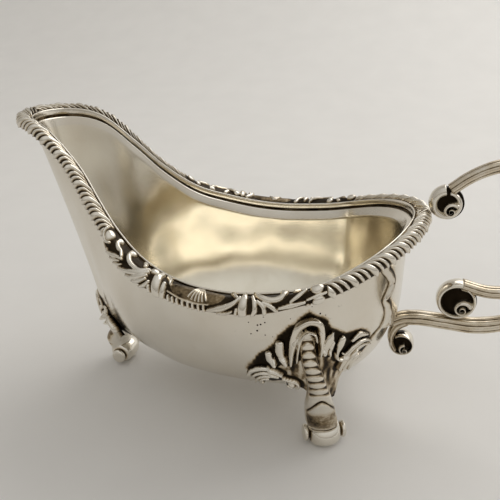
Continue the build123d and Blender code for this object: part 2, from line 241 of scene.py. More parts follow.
# Raised strokes of the rear shell, near side: (points as (sideways, height), radii, height).
REAR_SHELL_STROKES = [
    # hood over the end of the ribs, and the thin band inside it
    ([(-13.4, 37.0), (-13.4, 41.5), (-12.8, 45.8), (-11.2, 49.4), (-8.6, 51.0), (-6.3, 50.1), (-5.4, 47.7),
      (-5.2, 44.4), (-5.6, 40.4)], (0.5, 0.9, 1.2, 1.35, 1.3, 1.2, 0.9, 0.5), 2.4),
    ([(-11.9, 38.6), (-11.7, 43.0), (-10.9, 46.6), (-9.2, 48.3), (-7.6, 47.7), (-6.9, 45.4)],
     (0.35, 0.45, 0.5, 0.5, 0.35), 2.6),
    # rounded lobes towards the spout
    ([(-16.6, 42.8), (-16.5, 40.4), (-15.6, 38.0), (-14.8, 36.4)], (1.5, 1.6, 1.3, 0.8), 1.9),
    ([(-19.6, 39.0), (-19.2, 37.2), (-17.9, 35.4)], (1.2, 1.3, 0.7), 1.7),
    # pointed lobes and a small spiral towards the handle
    ([(-2.1, 46.6), (-2.6, 44.4), (-3.6, 42.0), (-4.3, 40.2)], (0.3, 1.5, 1.6, 0.8), 1.9),
    ([(-1.3, 42.8), (-1.9, 40.8), (-2.4, 39.0)], (0.5, 0.8, 0.4), 1.4),
    ([(1.6, 43.0), (1.0, 41.0), (0.2, 38.8), (0.5, 36.8), (1.9, 36.1), (2.8, 37.2), (1.9, 38.0)],
     (1.2, 1.3, 0.8, 0.6, 0.6, 0.5, 0.4), 1.7),
    # strands that rise towards the handle
    ([(5.0, 41.4), (7.4, 42.4), (10.6, 41.4)], (0.5, 1.2, 0.4), 1.5),
    ([(1.5, 32.4), (3.2, 36.2), (5.8, 39.0), (9.0, 40.0), (12.0, 38.6)], (0.7, 0.9, 0.8, 0.4), 1.9),
    ([(3.2, 31.6), (4.8, 35.0), (7.2, 37.3), (9.8, 38.0), (12.2, 37.0)], (0.6, 0.7, 0.7, 0.4), 1.6),
    ([(5.0, 30.8), (5.6, 33.4), (7.0, 35.2), (8.8, 35.2), (9.4, 33.8), (8.4, 32.8)],
     (0.6, 0.7, 0.6, 0.5), 1.6),
    ([(7.5, 33.7)], (0.9,), 1.6),
    # scroll that curls under on the spout side
    ([(-15.4, 31.4), (-18.0, 32.7), (-21.2, 33.0), (-23.8, 31.4), (-24.9, 28.8)], (0.4, 0.8, 0.9, 0.6), 1.8),
    ([(-16.4, 30.6), (-19.0, 31.0), (-21.6, 30.6), (-23.3, 28.8), (-23.7, 26.4)], (0.4, 0.7, 0.7, 0.5), 1.7),
    ([(-17.6, 29.6), (-20.2, 29.2), (-21.9, 27.6), (-22.2, 25.2)], (0.4, 0.6, 0.6, 0.5), 1.6),
    ([(-18.8, 28.0), (-20.4, 27.4), (-21.0, 25.8), (-20.0, 24.6)], (0.4, 0.6, 0.7), 1.6),
    # bead in a small scroll
    ([(-15.0, 29.6), (-13.0, 29.0), (-11.0, 28.3), (-10.3, 26.8), (-11.2, 25.4), (-12.8, 25.3)],
     (0.4, 0.55, 0.55), 1.4),
    ([(-12.3, 27.0)], (1.1,), 1.7),
]
# Outline of the plain web between the leg and the shell's lobes.
REAR_WEB = [
    (-4.6, 19.0), (-6.6, 22.4), (-8.8, 24.6), (-12.0, 26.0), (-15.5, 29.2), (-18.8, 30.5), (-19.5, 34.0),
    (-17.5, 38.0), (-14.5, 38.5), (-13.2, 44.0), (-9.5, 48.5), (-5.8, 47.5), (-4.8, 41.5), (-1.8, 39.5),
    (0.8, 36.5), (3.4, 36.5), (6.8, 37.5), (8.6, 34.6), (6.0, 31.6), (4.6, 29.4), (3.4, 26.4),
    (2.8, 22.6), (2.4, 19.0),
]
FRONT_SHELL_STROKES = [
    ([(-3.8, 23.0), (-3.9, 26.4), (-3.2, 29.4), (-1.6, 31.2), (0.0, 31.8)], (0.5, 0.8, 1.0, 1.1, 1.1), 1.2),
    ([(-5.9, 29.2), (-5.8, 26.8), (-5.2, 24.4), (-4.4, 22.4)], (0.8, 0.8, 0.7, 0.5), 1.0),
    ([(-7.6, 27.2), (-7.3, 25.4), (-6.4, 23.4)], (0.8, 0.8, 0.5), 1.1),
    ([(-6.0, 21.6), (-7.6, 23.4), (-9.6, 23.4), (-10.6, 21.2), (-10.2, 18.6)], (0.6, 1.0, 1.2, 0.9), 2.6),
    ([(-6.2, 20.0), (-7.8, 21.0), (-8.8, 19.8), (-8.2, 18.2)], (0.4, 0.6, 0.7, 0.5), 2.2),
    ([(-6.4, 18.2)], (1.0,), 1.6),
]
FRONT_WEB = [
    (-4.4, 16.4), (-5.6, 18.6), (-7.0, 20.4), (-7.8, 22.4), (-7.0, 24.6), (-5.2, 26.4), (-4.0, 29.0),
    (-2.0, 30.8), (0.0, 31.2),
]
WEB_SINK = 3.2          # the web lies this far behind the ribs' crest
WEB_CREST = 1.6         # as far as this on both sides of the crest ...
WEB_SLOPE = 0.6         # ... and falls away further out at this slope
WEB_THICK = 1.0
WEB_BLEND = 1.5         # sharpness of the line where it meets the plate
WEB_TONE = 0.46
WEB_CLOUDS = 0.30
DARK_MARGIN = 0.9       # the ground is black this far beside a stroke
PLATE_LIFT = 0.7        # plain parts of a shell stand this far off the bowl
PLATE_SINK = 0.5        # the backs of the shells lie this deep in its wall
PLATE_EDGE = 0.5        # and rise to that height over this distance each side of their outline
STROKE_SINK = 0.3       # strokes that leave the plain parts begin this deep in it
PATCH_STEP = 0.22
PATCH_MARGIN = 2.2
PATCH_TOP_MARGIN = 2.6

# ---- handle ----
TOP_CURL = (52.6, 77.3)
TOP_CURL_RADIUS = 5.8
LOW_CURL = (60.0, 44.9)
LOW_CURL_RADIUS = 7.0
FOOT_CURL = (44.5, 26.0)
FOOT_CURL_RADIUS = 4.5
KNOB_SHARE = 0.60       # radius of the snail in a curl's middle over the curl's own
KNOB_SHIFT = (0.22, -0.30)      # the snail's middle from the curl's, over its radius, along X and Z
KNOB_TURNS = 1.9
KNOB_TIGHTNESS = 0.165
KNOB_HALF_WIDTH = 3.9   # across the boat, at the knob's edge
CURL_HALF_WIDTH = 2.8   # of the curl's outer turn
CURL_SWEEP = 1.9 * math.pi
CURL_FADE = 0.45        # thickness of its inner end over its outer end
MAIN_SCROLL = [
    (53.4, 81.6), (58.0, 85.6), (64.0, 89.0), (76.0, 90.6), (86.4, 84.0), (91.0, 71.0), (87.3, 58.0),
    (78.0, 50.6), (69.0, 48.9), (60.8, 50.4),
]
LOWER_ARM = [
    (41.0, 33.6), (44.0, 35.4), (48.0, 36.2), (56.0, 36.2), (68.0, 36.4), (79.0, 40.6), (86.0, 47.4),
    (88.4, 56.0),
]
FOOT_STEM = [(45.0, 34.6), (42.4, 32.6), (41.0, 29.6), (41.0, 26.4), (42.6, 23.4)]
REEDS = 8
REED_DEPTH = 0.15
STEM_TONE = 0.22        # darkness of the stems, and what the lines between reeds add
REED_TONE = 0.65
# Back plate: its rolled edge, its outline and the leaf at its foot, one half of each as (across, height).
BACK_PLATE_STROKES = [
    ([(-20.4, 64.6), (-19.0, 61.2), (-15.8, 57.6), (-13.9, 54.4), (-15.3, 52.0), (-16.8, 50.2), (-15.2, 47.0),
      (-14.1, 43.7), (-14.6, 41.4), (-16.0, 39.6)], (0.9, 0.9, 0.9, 0.8, 0.7, 0.7, 0.9, 0.9, 0.8), 0.9),
]
BACK_PLATE_OUTLINE = [
    (0.0, 65.4), (-10.0, 65.4), (-20.0, 64.8), (-18.8, 61.2), (-15.4, 57.6), (-13.4, 54.4), (-16.4, 50.2),
    (-14.2, 46.0), (-13.8, 43.0), (-15.0, 39.6), (-8.0, 36.0), (0.0, 32.0),
]
BACK_PLATE_LIFT = 1.1
ROOT_LEAF_STROKES = [
    ([(-14.0, 40.0), (-16.6, 39.0), (-19.2, 37.8), (-21.4, 35.6)], (0.8, 1.4, 1.1, 0.2), 0.8),
]

# ---- materials: colours, and the scales of their noises ----
SILVER = (0.80, 0.765, 0.69)
GILT = (0.84, 0.795, 0.68)
# Colours of the darkening tone, from clean to black: oxide, and painted shade and reflection where the meshes
# carry them.
TARNISH_AND_SHADE_STOPS = [
    (0.0, (1.0, 1.0, 1.0)), (0.3, (0.80, 0.73, 0.62)), (0.55, (0.33, 0.26, 0.17)), (0.8, (0.06, 0.045, 0.03)),
    (1.0, (0.02, 0.015, 0.01)),
]
CLOUD_STOPS = [(0.3, (0.90, 0.875, 0.84)), (0.7, (1.0, 1.0, 1.0))]
SPECKLE_SCALE = 1400.0
PATCH_SCALE = 260.0
PIT_SCALE = 620.0
CLOUD_SCALE = 45.0
SMEAR_SCALE = 90.0
SCRATCH_STRETCH = (3200.0, 180.0, 2400.0)
CROSS_STRETCH = (220.0, 2600.0, 3000.0)
SHEET_ROUGHNESS = 0.13
CAST_ROUGHNESS = 0.12

# ---- studio, in metres ----
FLOOR = (0.80, 0.785, 0.76)
PAPER_REACH = 2.0
PAPER_START = 0.30      # the paper begins to rise this far behind the boat ...
PAPER_BEND = 0.8        # ... in a bend of this radius
SKY_STOPS = [(0.0, (0.38, 0.35, 0.31)), (0.3, (0.70, 0.675, 0.63)), (0.8, (0.90, 0.89, 0.87))]
SKY_BEHIND = (0.86, 0.85, 0.83)
ROOM_LEFT = (0.50, 0.48, 0.44)
SKY_STRENGTH = 0.80
WINDOW_PLACE = (0.45, 0.80, 0.90)
WINDOW_SIZE = (1.3, 1.0)
WINDOW_POWER = 7.6
WINDOW_COLOUR = (1.0, 0.99, 0.97)
LIGHT_AIM = (0, 0, 0.05)
CAMERA_LENS = 39.6      # millimetres, on a sensor of the usual width
CAMERA_PLACE = (0.038453, -0.171386, 0.130278)
CAMERA_TILT = 66.87
CAMERA_TURN = 15.87


# ---- curves ----
def smooth_step(low, high, value):
    t = np.clip((value - low) / (high - low), 0.0, 1.0)
    return t * t * (3 - 2 * t)


def curve_through(points, count, closed=False):
    """Points on the smooth curve through the given ones, spaced by their distances."""
    given = np.array(points, float)
    if closed:
        given = np.vstack([given[-1], given, given[:2]])
    else:
        given = np.vstack([2 * given[0] - given[1], given, 2 * given[-1] - given[-2]])
    runs = np.linalg.norm(np.diff(given, axis=0), axis=1)
    starts = np.concatenate([[0], np.cumsum(runs[1:-1])])
    where = np.linspace(0, starts[-1], count, endpoint=not closed)
    span = np.clip(np.searchsorted(starts, where, side="right") - 1, 0, len(starts) - 2)
    t = ((where - starts[span]) / runs[span + 1])[:, None]
    a, b, c, d = (given[span + k] for k in range(4))
    before, run, after = (runs[span + k][:, None] for k in range(3))
    slope0 = ((b - a) / before - (c - a) / (before + run) + (c - b) / run) * run
    slope1 = ((c - b) / run - (d - b) / (run + after) + (d - c) / after) * run
    return (
        (2 * t**3 - 3 * t**2 + 1) * b
        + (t**3 - 2 * t**2 + t) * slope0
        + (3 * t**2 - 2 * t**3) * c
        + (t**3 - t**2) * slope1
    )


def table_curve(stations, x):
    """Smooth values at x from rows whose first entry is x."""
    rows = np.array(stations, float)
    xs = rows[:, 0]
    last = len(xs) - 1
    x = np.asarray(x, float)
    low = np.clip(np.searchsorted(xs, x, side="left") - 1, 0, last - 1)
    x0, x1 = xs[low], xs[low + 1]
    before, after = np.maximum(low - 1, 0), np.minimum(low + 2, last)
    columns = []
    for column in rows[:, 1:].T:
        y0, y1 = column[low], column[low + 1]
        slope0 = (y1 - column[before]) / (x1 - xs[before])
        slope1 = (column[after] - y0) / (xs[after] - x0)
        run = x1 - x0
        t = (x - x0) / run
        columns.append(
            (1 + 2 * t) * (1 - t) ** 2 * y0 + t * (1 - t) ** 2 * run * slope0
            + t * t * (3 - 2 * t) * y1 - t * t * (1 - t) * run * slope1
        )
    return columns[0] if len(columns) == 1 else columns


def lengths_along(points):
    return np.concatenate([[0], np.cumsum(np.linalg.norm(np.diff(points, axis=0), axis=1))])


def rim_ring(count):
    """Points round the rim outline from the spout's tip by the far side, and their outward directions."""
    half = RIM_OUTLINE
    ring = curve_through(half + [(x, -y) for x, y in half[-2:0:-1]], count, closed=True)
    along = np.roll(ring, -1, axis=0) - np.roll(ring, 1, axis=0)
    outward = np.stack([-along[:, 1], along[:, 0]], axis=1)
    return ring, outward / np.linalg.norm(outward, axis=1)[:, None]


def rim_height(x):
    return table_curve(RIM_PROFILE, x)


# ---- bowl ----
def wall_share(height, rim, rim_x):
    """Share of the way from the spine to the rim at which the wall stands at a height."""
    rise = height - BOWL_BOTTOM
    rearness = smooth_step(REAR_BELLY_START, REAR_BELLY_END, rim_x)
    side = BELLY_SHARE + (REAR_BELLY_SHARE - BELLY_SHARE) * rearness
    fall = np.clip((BELLY_HEIGHT - height) / (BELLY_HEIGHT - BOWL_BOTTOM), 0, 1)
    side = side * (1 - fall**BELLY_POWER) ** (1 / BELLY_POWER)
    side = side + (1 - side) * np.clip((height - rim + LIP_HEIGHT) / LIP_HEIGHT, 0, 1) ** LIP_CURVE
    nose = NOSE_SHARE + (1 - NOSE_SHARE) * np.clip(rise / (rim - BOWL_BOTTOM), 0, 1) ** NOSE_BEND
    dip = np.clip(1 - rise / NOSE_ROUND, 0, 1)
    nose = nose * (1 - dip**NOSE_POWER) ** (1 / NOSE_POWER)
    front = 1 - smooth_step(NOSE_START, NOSE_END, rim_x)
    return side + (nose - side) * front


def wall_points(ring, height, growth):
    """Points of the wall under each rim point, at a height, grown outward by a distance."""
    spine = np.zeros_like(ring)
    spine[:, 0] = SPINE_MIDDLE + SPINE_SHARE * (ring[:, 0] - SPINE_MIDDLE)
    arm = ring - spine
    share = wall_share(height, rim_height(ring[:, 0]), ring[:, 0])
    out = arm / np.linalg.norm(arm, axis=1)[:, None]
    return np.column_stack([spine + arm * share[:, None] + out * growth, height * np.ones(len(ring))])


def ripples(points, wavelength, count):
    """Gentle random waves over points, between about -1 and 1, the same on every run."""
    random = np.random.RandomState(SEED)
    total = np.zeros(points.shape[:-1])
    for _ in range(count):
        direction = random.normal(size=3)
        direction *= 2 * math.pi / (wavelength * random.uniform(0.7, 1.5)) / np.linalg.norm(direction)
        total += np.sin(points @ direction + random.uniform(0, 2 * math.pi))
    return total / math.sqrt(count)


# ---- relief ----
def distance_to_path(path, radii, u, v):
    """Distance of each place from a path over the path's radius there."""
    best = np.full(u.shape, np.inf)
    if len(path) == 1:
        return np.hypot(u - path[0][0], v - path[0][1]) / radii[0]
    line = curve_through(path, 6 * len(path))
    radius = np.interp(np.linspace(0, 1, len(line)), np.linspace(0, 1, len(radii)), radii)
    for start, end, r0, r1 in zip(line[:-1], line[1:], radius[:-1], radius[1:]):
        run = end - start
        t = np.clip(((u - start[0]) * run[0] + (v - start[1]) * run[1]) / (run @ run), 0, 1)
        gap = np.hypot(u - start[0] - t * run[0], v - start[1] - t * run[1])
        best = np.minimum(best, gap / (r0 + t * (r1 - r0)))
    return best


def relief(strokes, u, v):
    """Height of the rounded strokes at each place."""
    top = np.zeros(u.shape)
    for path, radii, height in strokes:
        gap = distance_to_path(path, radii, u, v)
        top = np.maximum(top, height * np.sqrt(np.clip(1 - gap**STROKE_FULLNESS, 0, 1)))
    return top


def mirrored(strokes):
    """The strokes and their mirror images across the line u = 0."""
    return strokes + [([(-u, v) for u, v in path], radii, height) for path, radii, height in strokes]


def inside_polygon(polygon, u, v):
    inside = np.zeros(u.shape, bool)
    for (u0, v0), (u1, v1) in zip(polygon, polygon[1:] + polygon[:1]):
        crosses = (v0 > v) != (v1 > v)
        where = (u1 - u0) * (v - v0) / (v1 - v0 + 1e-12) + u0
        inside ^= crosses & (u < where)
    return inside


def depth_in_polygon(polygon, u, v):
    """Distance of each place from the outline, less than nothing outside it."""
    gap = np.full(u.shape, np.inf)
    for (u0, v0), (u1, v1) in zip(polygon, polygon[1:] + polygon[:1]):
        t = np.clip(((u - u0) * (u1 - u0) + (v - v0) * (v1 - v0)) / ((u1 - u0) ** 2 + (v1 - v0) ** 2), 0, 1)
        gap = np.minimum(gap, np.hypot(u - u0 - t * (u1 - u0), v - v0 - t * (v1 - v0)))
    return np.where(inside_polygon(polygon, u, v), gap, -gap)


# ---- meshes ----
def add_mesh(name, points, faces, material, tarnish_and_shade, nodes, slot="cast_silver", **other_tones):
    """Makes a smooth mesh piece on the body, standing for CAD nodes. Tones are values per vertex."""
    mesh = bpy.data.meshes.new(name)
    mesh.from_pydata((np.asarray(points) * MM).tolist(), [], [list(map(int, face)) for face in faces])
    # The first tone darkens the surface: oxide in some places, painted shade and a painted dark reflection in
    # others.
    for tone, values in {"tarnish_and_shade": tarnish_and_shade, **other_tones}.items():
        layer = mesh.attributes.new(tone, "FLOAT", "POINT")
        layer.data.foreach_set("value", np.asarray(values, np.float32).ravel())
    mesh.materials.append(material)
    tidy = bmesh.new()
    tidy.from_mesh(mesh)
    bmesh.ops.recalc_face_normals(tidy, faces=tidy.faces)
    tidy.to_mesh(mesh)
    tidy.free()
    mesh.shade_smooth()
    mesh.update()
    piece = bpy.data.objects.new(name, mesh)
    bpy.context.collection.objects.link(piece)
    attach(piece, "root")
    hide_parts(*nodes)


def grid_faces(rows, columns, closed_rows=False, closed_columns=False):
    """Quads of a grid of points stored row by row."""
    faces = []
    for i in range(rows if closed_rows else rows - 1):
        for j in range(columns if closed_columns else columns - 1):
            k, m = (i + 1) % rows, (j + 1) % columns
            faces.append((i * columns + j, i * columns + m, k * columns + m, k * columns + j))
    return faces


def add_tube(name, rings, material, tarnish_and_shade, nodes):
    """Closed solid through rings of points, with a fan over each end."""
    rows, columns = rings.shape[:2]
    points = rings.reshape(-1, 3)
    ends = np.array([rings[0].mean(axis=0), rings[-1].mean(axis=0)])
    faces = grid_faces(rows, columns, closed_columns=True)
    first, last = rows * columns, rows * columns + 1
    base = (rows - 1) * columns
    for j in range(columns):
        m = (j + 1) % columns
        faces.append((m, j, first))
        faces.append((base + j, base + m, last))
    grid = np.broadcast_to(tarnish_and_shade, (rows, columns))
    tarnish_and_shade = np.concatenate([grid.ravel(), [grid[0].mean(), grid[-1].mean()]])
    add_mesh(name, np.vstack([points, ends]), faces, material, tarnish_and_shade, nodes)


def add_patch(name, front, back, keep, material, tarnish_and_shade, nodes):
    """Closed plate between two grids of points, over the cells whose four corners are kept."""
    rows, columns = keep.shape
    cells = keep[:-1, :-1] & keep[1:, :-1] & keep[:-1, 1:] & keep[1:, 1:]
    size = rows * columns
    faces = []
    for i, j in zip(*np.nonzero(cells)):
        a, b, c, d = i * columns + j, i * columns + j + 1, (i + 1) * columns + j + 1, (i + 1) * columns + j
        faces.append((a, b, c, d))
        faces.append((size + d, size + c, size + b, size + a))
        sides = (
            (i > 0 and cells[i - 1, j], a, b), (j + 1 < columns - 1 and cells[i, j + 1], b, c),
            (i + 1 < rows - 1 and cells[i + 1, j], c, d), (j > 0 and cells[i, j - 1], d, a),
        )
        for has_neighbour, p, q in sides:
            if not has_neighbour:
                faces.append((q, p, size + p, size + q))
    points = np.vstack([front.reshape(-1, 3), back.reshape(-1, 3)])
    used = np.unique(np.array(faces))
    number = np.zeros(len(points), int)
    number[used] = np.arange(len(used))
    tarnish_and_shade = np.concatenate([tarnish_and_shade.ravel(), np.ones(size)])[used]
    add_mesh(name, points[used], number[np.array(faces)], material, tarnish_and_shade, nodes)


def grid_normals(points, closed_columns=False):
    """Unit normals of a grid of points."""
    down = np.gradient(points, axis=0)
    if closed_columns:
        across = np.roll(points, -1, axis=1) - np.roll(points, 1, axis=1)
    else:
        across = np.gradient(points, axis=1)
    normal = np.cross(across, down)
    return normal / np.maximum(np.linalg.norm(normal, axis=-1, keepdims=True), 1e-9)


# ---- placing things at a foot ----
def facing(azimuth):
    """Unit vectors outward and sideways for something that faces an azimuth in degrees."""
    a = math.radians(azimuth)
    return np.array([math.cos(a), math.sin(a)]), np.array([-math.sin(a), math.cos(a)])


def placed(foot, azimuth, reach, side, height):
    """Points from their reach, sideways and height coordinates at a foot."""
    outward, sideways = facing(azimuth)
    flat = np.array(foot) + reach[..., None] * outward + side[..., None] * sideways
    return np.concatenate([flat, height[..., None] + 0 * flat[..., :1]], axis=-1)


def wall_reach(foot, azimuth, side, height):
    """Reach of the bowl's outside at a grid of places whose rows are level."""
    ring, outward = rim_ring(BOWL_COLUMNS * 2)
    out_axis, side_axis = facing(azimuth)
    facing_part = outward @ out_axis > 0.0
    reach = np.zeros(side.shape)
    for row in range(side.shape[0]):
        level = max(height[row, 0], BOWL_BOTTOM + 0.05)
        wall = wall_points(ring, level, WALL)[facing_part, :2] - np.array(foot)
        order = np.argsort(wall @ side_axis)
        reach[row] = np.interp(side[row], (wall @ side_axis)[order], (wall @ out_axis)[order])
    return reach


def flipped(points):
    return points * np.array([1.0, -1.0, 1.0])


# ---- pieces ----

def halo_tone(points):
    """How dark the bowl's outside is round the shells, from 0 to 1."""
    dark = np.zeros(points.shape[:-1])
    folded = points * [1.0, 0.0, 1.0] - np.abs(points) * [0.0, 1.0, 0.0]
    for foot, azimuth, outline in ((REAR_FOOT, REAR_AZIMUTH, REAR_HALO), (FRONT_FOOT, 180.0, FRONT_HALO)):
        out_axis, side_axis = facing(azimuth)
        flat = folded[..., :2] - np.array(foot)
        depth = depth_in_polygon(outline, flat @ side_axis, points[..., 2])
        depth = depth + HALO_RAGGEDNESS * ripples(points, 4.0, 7)
        dark = np.maximum(dark, smooth_step(-0.4, 0.8, depth) * (flat @ out_axis > -12))
    return dark


def pit_tone(points):
    """How thickly small dark pits are strewn, from 0 to 1."""
    pits = np.zeros(points.shape[:-1])
    for middle, size in PITTED_PLACES:
        gap = np.linalg.norm(points - np.array(middle), axis=-1)
        pits = np.maximum(pits, np.exp(-((gap / size) ** 2)))
    return pits


def build_bowl(material):
    """The sheet: up the outside, over the groove and down the inside."""
    ring, outward = rim_ring(BOWL_COLUMNS)
    rim = rim_height(ring[:, 0])
    lip_start = rim - LIP_HEIGHT
    top = rim - WIRE_HEIGHT - GROOVE_WIDTH
    rise = np.linspace(0.0, 1.0, BOWL_ROWS) ** ROW_BUNCHING
    heights = [LOWEST_RING + (lip_start - LOWEST_RING) * share for share in rise]
    heights += [lip_start + (top - lip_start) * share for share in np.linspace(0, 1, LIP_ROWS)[1:]]
    outer = np.array([wall_points(ring, height, WALL) for height in heights])
    inner = np.array([wall_points(ring, height, 0.0) for height in heights])
    share_up = np.clip((inner[..., 2] - BOWL_BOTTOM) / (rim - BOWL_BOTTOM), 0, 1)
    inner[..., 2] += WALL * (1 - share_up)
    calm = smooth_step(0, 1, (rim - inner[..., 2] - 2) / 8)
    inner_waves = INNER_WAVE_HEIGHT * ripples(inner, INNER_WAVE_LENGTH, WAVE_COUNT) * calm
    inner += grid_normals(inner, True) * inner_waves[..., None]
    outer_waves = OUTER_WAVE_HEIGHT * ripples(outer, OUTER_WAVE_LENGTH, WAVE_COUNT) * calm
    outer += grid_normals(outer, True) * outer_waves[..., None]
    edge = []
    for offset, up in GROOVE_RINGS:
        edge.append(np.column_stack([ring + outward * offset, top + up]))
    rows = np.vstack([outer, np.array(edge), inner[::-1]])
    tarnish_and_shade = np.zeros(rows.shape[:2])
    tarnish_and_shade[: len(outer)] = halo_tone(outer)
    # The groove between the lip and the wire is painted black: a painted shadow in the concave corner.
    tarnish_and_shade[len(outer) : len(outer) + 3] = 1.0
    gilt = np.zeros(rows.shape[:2])
    gilt[len(outer) + len(edge) :] = smooth_step(-0.5, 0.1, (lip_start - inner[..., 2]))[::-1]
    faces = grid_faces(len(rows), BOWL_COLUMNS, closed_columns=True)
    for base in (0, (len(rows) - 1) * BOWL_COLUMNS):
        for j in range(BOWL_COLUMNS // 2):
            faces.append((base + j, base + j + 1, base + (BOWL_COLUMNS - j - 1) % BOWL_COLUMNS,
                          base + (BOWL_COLUMNS - j) % BOWL_COLUMNS))
    add_mesh("bowl_sheet", rows.reshape(-1, 3), faces, material, tarnish_and_shade, ["bowl"], "raised_silver",
             gilt=gilt, pits=pit_tone(rows))


def build_wire(material):
    ring, outward = rim_ring(BOWL_COLUMNS * 2)
    rim = rim_height(ring[:, 0])
    rings = np.array([np.column_stack([ring + outward * out, rim + up]) for out, up in WIRE_SECTION])
    # The wire's underside and outer side are painted black: partly oxide, partly painted shade in the narrow
    # valley beside the border.
    tarnish_and_shade = np.array([1.0 if up < -2.0 or out > 0.6 else 0.0 for out, up in WIRE_SECTION])
    tarnish_and_shade = np.broadcast_to(tarnish_and_shade[:, None], rings.shape[:2])
    faces = grid_faces(len(rings), rings.shape[1], closed_rows=True, closed_columns=True)
    add_mesh("rim_wire_ring", rings.reshape(-1, 3), faces, material, tarnish_and_shade, ["rim_wire"], "raised_silver")


def gadroon_relief(along, across, width):
    """Slanting lobes with thin ridges between them. along is measured away from the middle."""
    inward = np.clip(1 - across / width, 0, 1)
    place = (along - GADROON_LEAN * (1 - inward**1.5)) / GADROON_PITCH % 1.0
    past_end = np.clip(across - width + GADROON_ROUND, 0, None) / GADROON_ROUND
    bulb = np.sqrt(np.clip(1 - past_end**2, 0, 1))
    fullness = 0.01 + bulb * (GADROON_POINT + (1 - GADROON_POINT) * smooth_step(0.4, 3.4, across))
    room = 1 - 2 * GADROON_SHARE
    ridges = [(GADROON_SHARE, GADROON_FILL * GADROON_SHARE, GADROON_HEIGHT)]
    for dart in range(GADROON_DARTS):
        middle = 2 * GADROON_SHARE + room * (dart + 0.5) / GADROON_DARTS
        ridges.append((middle, DART_FILL * room / GADROON_DARTS, DART_HEIGHT * GADROON_HEIGHT))
    height = np.zeros(place.shape)
    for middle, half, top in ridges:
        round_top = np.sqrt(np.clip(1 - ((place - middle) / (half * fullness)) ** 2, 0, 1))
        height = np.maximum(height, top * round_top)
    return height * smooth_step(0.0, 1.5, across)


def fan_strokes():
    """Flutes of the central shell, its scalloped edge, and the row of tabs below it."""
    strokes = []
    for number in range(FAN_FLUTES):
        turn = math.radians(FAN_SPREAD * (2 * number / (FAN_FLUTES - 1) - 1))
        run = (math.sin(turn), math.cos(turn))
        start = (FAN_APEX[0] + 1.2 * run[0], FAN_APEX[1] + 1.2 * run[1])
        end = (FAN_APEX[0] + FAN_REACH * run[0], FAN_APEX[1] + FAN_REACH * run[1])
        strokes.append(([start, end], (0.12, 0.24, 0.3), 0.8))
    for place in TAB_PLACES:
        strokes.append(([(place, TAB_ACROSS - 0.7), (place + 0.1, TAB_ACROSS + 0.7)], (0.42, 0.5), 0.85))
    strokes.append(([(-9.0, 6.4), (-5.0, 7.1), (0.0, 7.3), (3.0, 7.0)], (0.25, 0.35, 0.25), 0.6))
    return strokes


def border_height(station, across, width, dish):
    """Height of the relief: gadroons at both ends, and leaves and the middle shell between them."""
    shaped = relief(BORDER_STROKES + fan_strokes(), station, across)
    shaped = np.maximum(shaped, DISH_HEIGHT * smooth_step(0, 0.2, dish))
    front = gadroon_relief(MIDDLE_FRONT - station, across, width)
    rear = gadroon_relief(station - MIDDLE_REAR, across, width)
    return np.where(station < MIDDLE_FRONT, front, np.where(station > MIDDLE_REAR, rear, shaped))


def border_tarnish_and_shade(station, across, height, dish):
    """How dark the relief is in its recesses, from 0 to 1: partly oxide, partly painted shade."""
    recess = np.where(dish > 0, DISH_TONE, RECESS_TONE)
    recess = recess * (0.6 + 0.4 * smooth_step(0.3, 0.8, across))
    bright_from = np.where((station < MIDDLE_FRONT) | (station > MIDDLE_REAR), GADROON_BRIGHT, LEAF_BRIGHT)
    tarnish_and_shade = recess * (1 - smooth_step(0.15, 1.0, height / bright_from))
    tarnish_and_shade[:, -2:] *= 0.7
    return tarnish_and_shade


def build_border(material):
    ring, outward = rim_ring(2 * BORDER_COLUMNS)
    ring, outward = ring[: BORDER_COLUMNS + 1], outward[: BORDER_COLUMNS + 1]
    ring[0, 1] = ring[-1, 1] = 0.0
    rim = rim_height(ring[:, 0])
    along = lengths_along(np.column_stack([ring, rim]))
    along -= np.interp(MIDDLE_X, ring[:, 0], along)
    widens = smooth_step(MIDDLE_FRONT - 2, MIDDLE_FRONT + 6, along)
    narrows = smooth_step(12, MIDDLE_REAR + 2, along)
    middle_share = widens * (1 - narrows)
    thin = curve_through(GADROON_SECTION, BORDER_ROWS)
    wide = curve_through(MIDDLE_SECTION, BORDER_ROWS)
    section = thin[None] + (wide - thin)[None] * middle_share[:, None, None]
    width = lengths_along(thin)[-1]
    widths = width + (lengths_along(wide)[-1] - width) * middle_share
    across = np.linspace(0, 1, BORDER_ROWS)[None] * widths[:, None]
    run = np.gradient(section, axis=1)
    lift = np.stack([-run[..., 1], run[..., 0]], axis=-1)
    lift /= np.linalg.norm(lift, axis=-1, keepdims=True)
    station = np.broadcast_to(along[:, None], across.shape)
    dish = 1 - np.hypot((station - DISH_MIDDLE[0]) / DISH_RADII[0], (across - DISH_MIDDLE[1]) / DISH_RADII[1])
    height = border_height(station, across, width, dish)
    surface = section + lift * height[..., None]
    under = np.broadcast_to(np.array(UNDERSIDE), (len(ring), len(UNDERSIDE), 2))
    loop = np.concatenate([surface, under], axis=1)
    rings = np.concatenate([
        ring[:, None] + outward[:, None] * loop[..., :1],
        rim[:, None, None] + loop[..., 1:],
    ], axis=-1)
    tarnish_and_shade = np.full(loop.shape[:2], UNDERSIDE_TONE)
    tarnish_and_shade[:, :BORDER_ROWS] = border_tarnish_and_shade(station, across, height, dish)
    for name, start, end in BORDER_PIECES:
        first = np.searchsorted(ring[:, 0], start)
        last = np.searchsorted(ring[:, 0], end, side="right")
        part = slice(max(first - 1, 0), min(last, len(ring)))
        add_tube(name + "_far_relief", rings[part], material, tarnish_and_shade[part], [name + "_far"])
        add_tube(name + "_near_relief", flipped(rings[part]), material, tarnish_and_shade[part], [name + "_near"])


def web_reach(stations, side, z):
    """Reach of the plain web that slopes away on both sides of the leg's crest."""
    leg_side, leg_reach, _, _ = table_curve(stations, z)
    beside = np.clip(np.abs(side - leg_side[:, None]) - WEB_CREST, 0, None)
    return leg_reach[:, None] - WEB_SINK - WEB_SLOPE * beside


